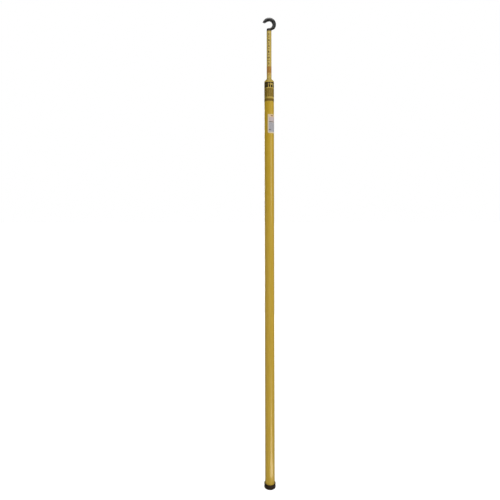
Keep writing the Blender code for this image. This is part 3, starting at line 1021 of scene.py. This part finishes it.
def figure_mesh(figure):
    """A thin solid figure, centred on its own height and sliced upright to bend round a tube."""
    name = f"figure_{figure}"
    text = bpy.data.curves.new(name, "FONT")
    text.body = str(figure)
    text.align_x = "CENTER"
    text.offset = NUMERAL_BOLDNESS
    text.resolution_u = FIGURE_RESOLUTION
    shape = shape_from(name, text)
    bmesh.ops.remove_doubles(shape, verts=shape.verts, dist=FIGURE_WELD)
    heights = [vertex.co.y for vertex in shape.verts]
    tall = max(heights) - min(heights)
    shape.transform(Matrix.Translation((0.0, -min(heights) - tall / 2.0, 0.0)))
    size = NUMERAL_HEIGHT / tall
    sized = Matrix.Diagonal((NUMERAL_STRETCH * size, size, size, 1.0))
    shape.transform(Matrix.Rotation(math.radians(90.0), 4, "X") @ sized)
    half = round(NUMERAL_ADVANCE / SLICE_WIDTH / 2.0)
    for step in range(-half, half + 1):
        bmesh.ops.bisect_plane(shape, geom=[*shape.verts, *shape.edges, *shape.faces],
                               dist=SLICE_TOLERANCE, plane_co=(step * SLICE_WIDTH, 0.0, 0.0),
                               plane_no=(1.0, 0.0, 0.0))
    grown = bmesh.ops.extrude_face_region(shape, geom=list(shape.faces))
    for vertex in (item for item in grown["geom"] if isinstance(item, bmesh.types.BMVert)):
        vertex.co.y -= INK_THICKNESS
    bmesh.ops.recalc_face_normals(shape, faces=shape.faces)
    mesh = bpy.data.meshes.new(name)
    shape.to_mesh(mesh)
    shape.free()
    return mesh


def ten_figures():
    """The figures 0 to 9, in their own collection."""
    figures = bpy.data.collections.new("figures")
    for figure in range(10):
        figures.objects.link(bpy.data.objects.new(f"figure_{figure}", figure_mesh(figure)))
    return figures


def film(name, radius, thickness, heights, angles, surface, corner=PRINT_CORNER):
    """A thin closed sheet on part of the base tube, with rounded corners."""
    low, high = heights
    first, last = angles
    rows = []
    for step in range(ROUND_STEPS + 1):
        angle = math.radians(90.0) * step / ROUND_STEPS
        rows.append((low + corner * (1.0 - math.cos(angle)), corner * (1.0 - math.sin(angle)) / radius))
    rows += [(low + high - height, inset) for height, inset in reversed(rows)]
    columns = max(2, math.ceil((last - first) * radius / (2.0 * SLICE_WIDTH)))
    shape = bmesh.new()
    sheets = []
    for reach in (radius, radius + thickness):
        sheet = []
        for height, inset in rows:
            turns = [between(first + inset, last - inset, i / columns) for i in range(columns + 1)]
            sheet.append([shape.verts.new((reach * math.sin(turn), -reach * math.cos(turn), height))
                          for turn in turns])
        sheets.append(sheet)
        for under, over in zip(sheet, sheet[1:]):
            for i in range(columns):
                shape.faces.new((under[i], under[i + 1], over[i + 1], over[i]))
    borders = []
    for sheet in sheets:
        right = [row[-1] for row in sheet[1:-1]]
        left = [row[0] for row in reversed(sheet[1:-1])]
        borders.append([*sheet[0], *right, *reversed(sheet[-1]), *left])
    for i in range(len(borders[0])):
        shape.faces.new((borders[0][i - 1], borders[0][i], borders[1][i], borders[1][i - 1]))
    settle(new_piece(name, shape, surface), "base", "tube")


def ink_band(name, radius, low, high, surface, body):
    """A thin closed ring of ink all round a tube."""
    outside = radius + INK_THICKNESS
    outline = [(radius, low), (outside, low), (outside, high), (radius, high)]
    settle(new_piece(name, turned(outline, TUBE_SIDES, hollow=True), surface), body, "tube")


def tube_scale(number, marks, numerals, figures, dark, red, faded):
    """A sliding tube's scale, and a red band near its mouth with a worn tail.

    The scale has a numeral and its tick at every even centimetre, and a dash at every odd one.
    """
    node = tube_name(number)
    body = body_name(number)
    low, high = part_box(node)
    surface = outer_radius(node) + INK_CLEARANCE
    is_tip = number == SLIDING_TUBES
    first = high.z - (TIP_SCALE_TOP if is_tip else SLIDE_SCALE_TOP)
    band = high.z - (TIP_BAND_DROP if is_tip else SLIDE_BAND_DROP)
    foot = band - BAND_HEIGHT
    count = int((first - low.z - SCALE_END_MARGIN) / SCALE_PITCH)
    shared = {"Radius": surface, "Ink": dark, "Bare Top": band + BAND_MARGIN,
              "Bare Bottom": foot - BAND_BELOW}
    tick_turn = SCALE_TICK_SIDE / surface
    for label, (width, height), top, angle in (
            ("dashes", SCALE_DASH, first - SCALE_PITCH / 2.0, NUMERAL_ANGLE),
            ("ticks", SCALE_TICK, first, NUMERAL_ANGLE + tick_turn)):
        values = {**shared, "Columns": 1, "Rows": count, "Row Pitch": SCALE_PITCH, "Least Width": width,
                  "Most Width": width, "Mark Height": height, "Thickness": INK_THICKNESS,
                  "Slices": round(2.0 * width / SLICE_WIDTH), "Seed": 1, "Top": top, "Angle": angle}
        printed(f"{node}_{label}", marks, values, body)
    values = {**shared, "Count": count, "Step": SCALE_STEP_CM, "Pitch": SCALE_PITCH, "Top": first,
              "Advance": NUMERAL_ADVANCE, "Figures": figures, "Angle": NUMERAL_ANGLE}
    printed(f"{node}_numerals", numerals, values, body)
    ink_band(f"{node}_red_band", surface, foot, band, red, body)
    ink_band(f"{node}_worn_band", surface, foot - BAND_TAIL_HEIGHT, foot, faded, body)


def base_sleeve(marks, sheet, dark, olive, shade):
    """The printed sleeve round the base tube's top: bold bars, rows of dashes, a brown ring and a strip
    of painted shade down its left side.
    """
    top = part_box("base_tube")[1].z
    surface = outer_radius("base_tube") + INK_CLEARANCE
    low = top - SLEEVE_HEIGHT
    first = SLEEVE_GAP_ANGLE - math.pi
    round_tube = (first, -first)
    film("sleeve_film", surface, SLEEVE_THICKNESS, (low, top - MOUTH_ROUNDING), round_tube, sheet,
         FILM_CORNER)
    shade_face = surface + SLEEVE_THICKNESS + INK_CLEARANCE
    face = shade_face + INK_THICKNESS
    girth = 2.0 * -first * face
    for label, columns, rows, pitch, widths, height, drop, seed, colour, layer in (
            ("bars", BAR_COUNT, 1, 0.0, BAR_WIDTHS, BAR_HEIGHT, BAR_DROP, BAR_SEED, dark, 0),
            ("notches", BAR_COUNT, 1, 0.0, NOTCH_WIDTHS, NOTCH_HEIGHT, NOTCH_DROP, NOTCH_SEED, sheet, 1),
            ("dashes", DASH_COUNT, DASH_ROWS, DASH_ROW_PITCH, DASH_WIDTHS, DASH_HEIGHT, DASH_DROP,
             DASH_SEED, olive, 0)):
        printed(f"sleeve_{label}", marks, {
            "Radius": face + layer * INK_THICKNESS, "Thickness": INK_THICKNESS, "Bare Top": 0.0,
            "Bare Bottom": 0.0, "Columns": columns, "Rows": rows, "Column Pitch": girth / columns,
            "Row Pitch": pitch, "Least Width": widths[0], "Most Width": widths[1],
            "Mark Height": height, "Slices": BAR_SLICES, "Seed": seed, "Top": top - drop - height / 2.0,
            "Angle": first + girth / columns / 2.0 / face, "Ink": colour}, "base")
    for label, drop, height, colour in (("top_line", BAR_DROP, BAR_LINE_HEIGHT, dark),
                                        ("ring", RING_DROP, RING_HEIGHT, olive)):
        film(f"sleeve_{label}", face + INK_THICKNESS, INK_THICKNESS, (top - drop - height, top - drop),
             round_tube, colour)
    # Painted shade: a darker film over the sleeve's left side, where light falls off, not a print
    film("sleeve_side_strip", shade_face, INK_THICKNESS,
         (top - BAR_DROP - PAINTED_SHADE_HEIGHT, top - BAR_DROP), PAINTED_SHADE_ANGLES, shade)


def base_sticker(marks, sheet, prints):
    """The blank sticker: a pale film with plain printed fields and fine ruled lines, no lettering."""
    surface = outer_radius("base_tube") + INK_CLEARANCE
    film("sticker_film", surface, STICKER_THICKNESS, (STICKER_TOP - STICKER_HEIGHT, STICKER_TOP),
         (STICKER_FIRST_ANGLE, STICKER_LAST_ANGLE), sheet, FILM_CORNER)
    face = surface + STICKER_THICKNESS + INK_CLEARANCE
    margin = STICKER_MARGIN / face
    first = STICKER_FIRST_ANGLE + margin
    last = STICKER_LAST_ANGLE - margin
    middle = between(first, last, 0.5)
    for label, (drop, end), start, stop, layer in (
            ("header", STICKER_HEADER, first, last, 0),
            ("header_mark", STICKER_HEADER_MARK, between(first, last, STICKER_MARK_SHARE), middle, 1),
            ("panel", STICKER_PANEL, first, last, 0), ("rule", STICKER_RULE, first, last, 0),
            ("field", STICKER_FIELD, first, last, 0),
            ("blot", STICKER_BLOT, first, between(first, last, STICKER_MARK_SHARE), 2)):
        film(f"sticker_{label}", face + layer * INK_THICKNESS, INK_THICKNESS,
             (STICKER_TOP - end, STICKER_TOP - drop), (start, stop), prints[label])
    width = (last - first) * face - STICKER_MARGIN
    rows = int((STICKER_FIELD[1] - STICKER_FIELD[0]) / STICKER_LINE_PITCH)
    top_line = STICKER_TOP - STICKER_FIELD[0] - STICKER_LINE_PITCH / 2.0
    printed("sticker_lines", marks, {
        "Columns": 1, "Rows": rows, "Column Pitch": 0.0, "Row Pitch": STICKER_LINE_PITCH,
        "Least Width": width, "Most Width": width, "Mark Height": STICKER_LINE_HEIGHT,
        "Slices": LINE_SLICES, "Thickness": INK_THICKNESS, "Seed": 2, "Top": top_line, "Bare Top": 0.0,
        "Bare Bottom": 0.0, "Radius": face + INK_THICKNESS, "Angle": middle,
        "Ink": prints["lines"]}, "base")


def build():
    """Every visible piece of the stick, on its own body."""
    photo_camera()
    white_ground()
    white_world()
    studio_lights()
    base_skin = fibreglass("yellow_fibreglass_base", "AD8C1C", "B99A30", "C8B67A", 0.30)
    slide_skin = fibreglass("yellow_fibreglass_slides", "AC9446", "B8A154", "C9BA88", 0.34)
    edge = cut_laminate()
    bore = tube_bore()
    for number in range(SLIDING_TUBES + 1):
        tube_piece(number, slide_skin if number else base_skin, edge, bore)

    # the hook's nylon has a painted brown reflection of the tube just above the tip tube's mouth
    hook_piece(moulded_nylon("black_moulded_nylon", "050506", "0A0A0C", 0.0003, 0.36,
                             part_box("tip_tube")[1].z))
    foot_piece(black_rubber())
    pale_nylon = moulded_nylon("natural_moulded_nylon", "D6CFBC", "E2DCCB", 0.0004, 0.4)
    brass = metal("turned_brass", "B08A42", "D1AC63", 0.28, grain=0.0002, length=0.0002)
    steel = metal("drawn_stainless_steel", "A9A9A8", "C6C6C4", 0.25, grain=0.0003, length=0.002)
    for number in range(SLIDING_TUBES + 1):
        plug_piece(number, pale_nylon)
        if number > 0:
            button_piece(number, brass)
            spring_piece(number, steel)
    hook_pin_piece(steel)
    core_piece(closed_foam())

    marks = marks_tree()
    numerals = numerals_tree()
    figures = ten_figures()
    scale_ink = ink("brown_scale_ink", "42300A", "806C30", 0.4)
    red_ink = ink("faded_red_ink", "9C6E2E", "A88A48", 0.8)
    worn_ink = ink("worn_red_ink", "B08F4C", "B8A154", 0.8)
    for number in range(1, SLIDING_TUBES + 1):
        tube_scale(number, marks, numerals, figures, scale_ink, red_ink, worn_ink)
    base_sleeve(marks, printed_film("printed_yellow_film", "AA903A", "B49C4A", 0.4),
                ink("dark_brown_print", "221500", "3C2A02", 0.3),
                ink("olive_brown_print", "6E5610", "806A2A", 0.4),
                # the last ink is painted shade for the sleeve's left side
                ink("painted_shade_print", "8C7B39", "948342", 0.4))
    prints = {"header": ink("faded_peach_print", "D2B48A", "D8C4A4", 0.6),
              "header_mark": ink("brown_header_print", "8A7055", "A58C74", 0.5),
              "panel": ink("pale_lilac_print", "B2A2A2", "BCB0AE", 0.5),
              "rule": ink("dark_grey_print", "6E6668", "8C8486", 0.5),
              "field": ink("grey_lilac_print", "A4A2A6", "AEACB0", 0.5),
              "blot": ink("black_print", "5C5456", "7A7274", 0.5),
              "lines": ink("grey_ruling_ink", "77757C", "A5A3A8", 0.4)}
    base_sticker(marks, printed_film("white_label_film", "C2B69C", "CABEAC", 0.45), prints)


build()
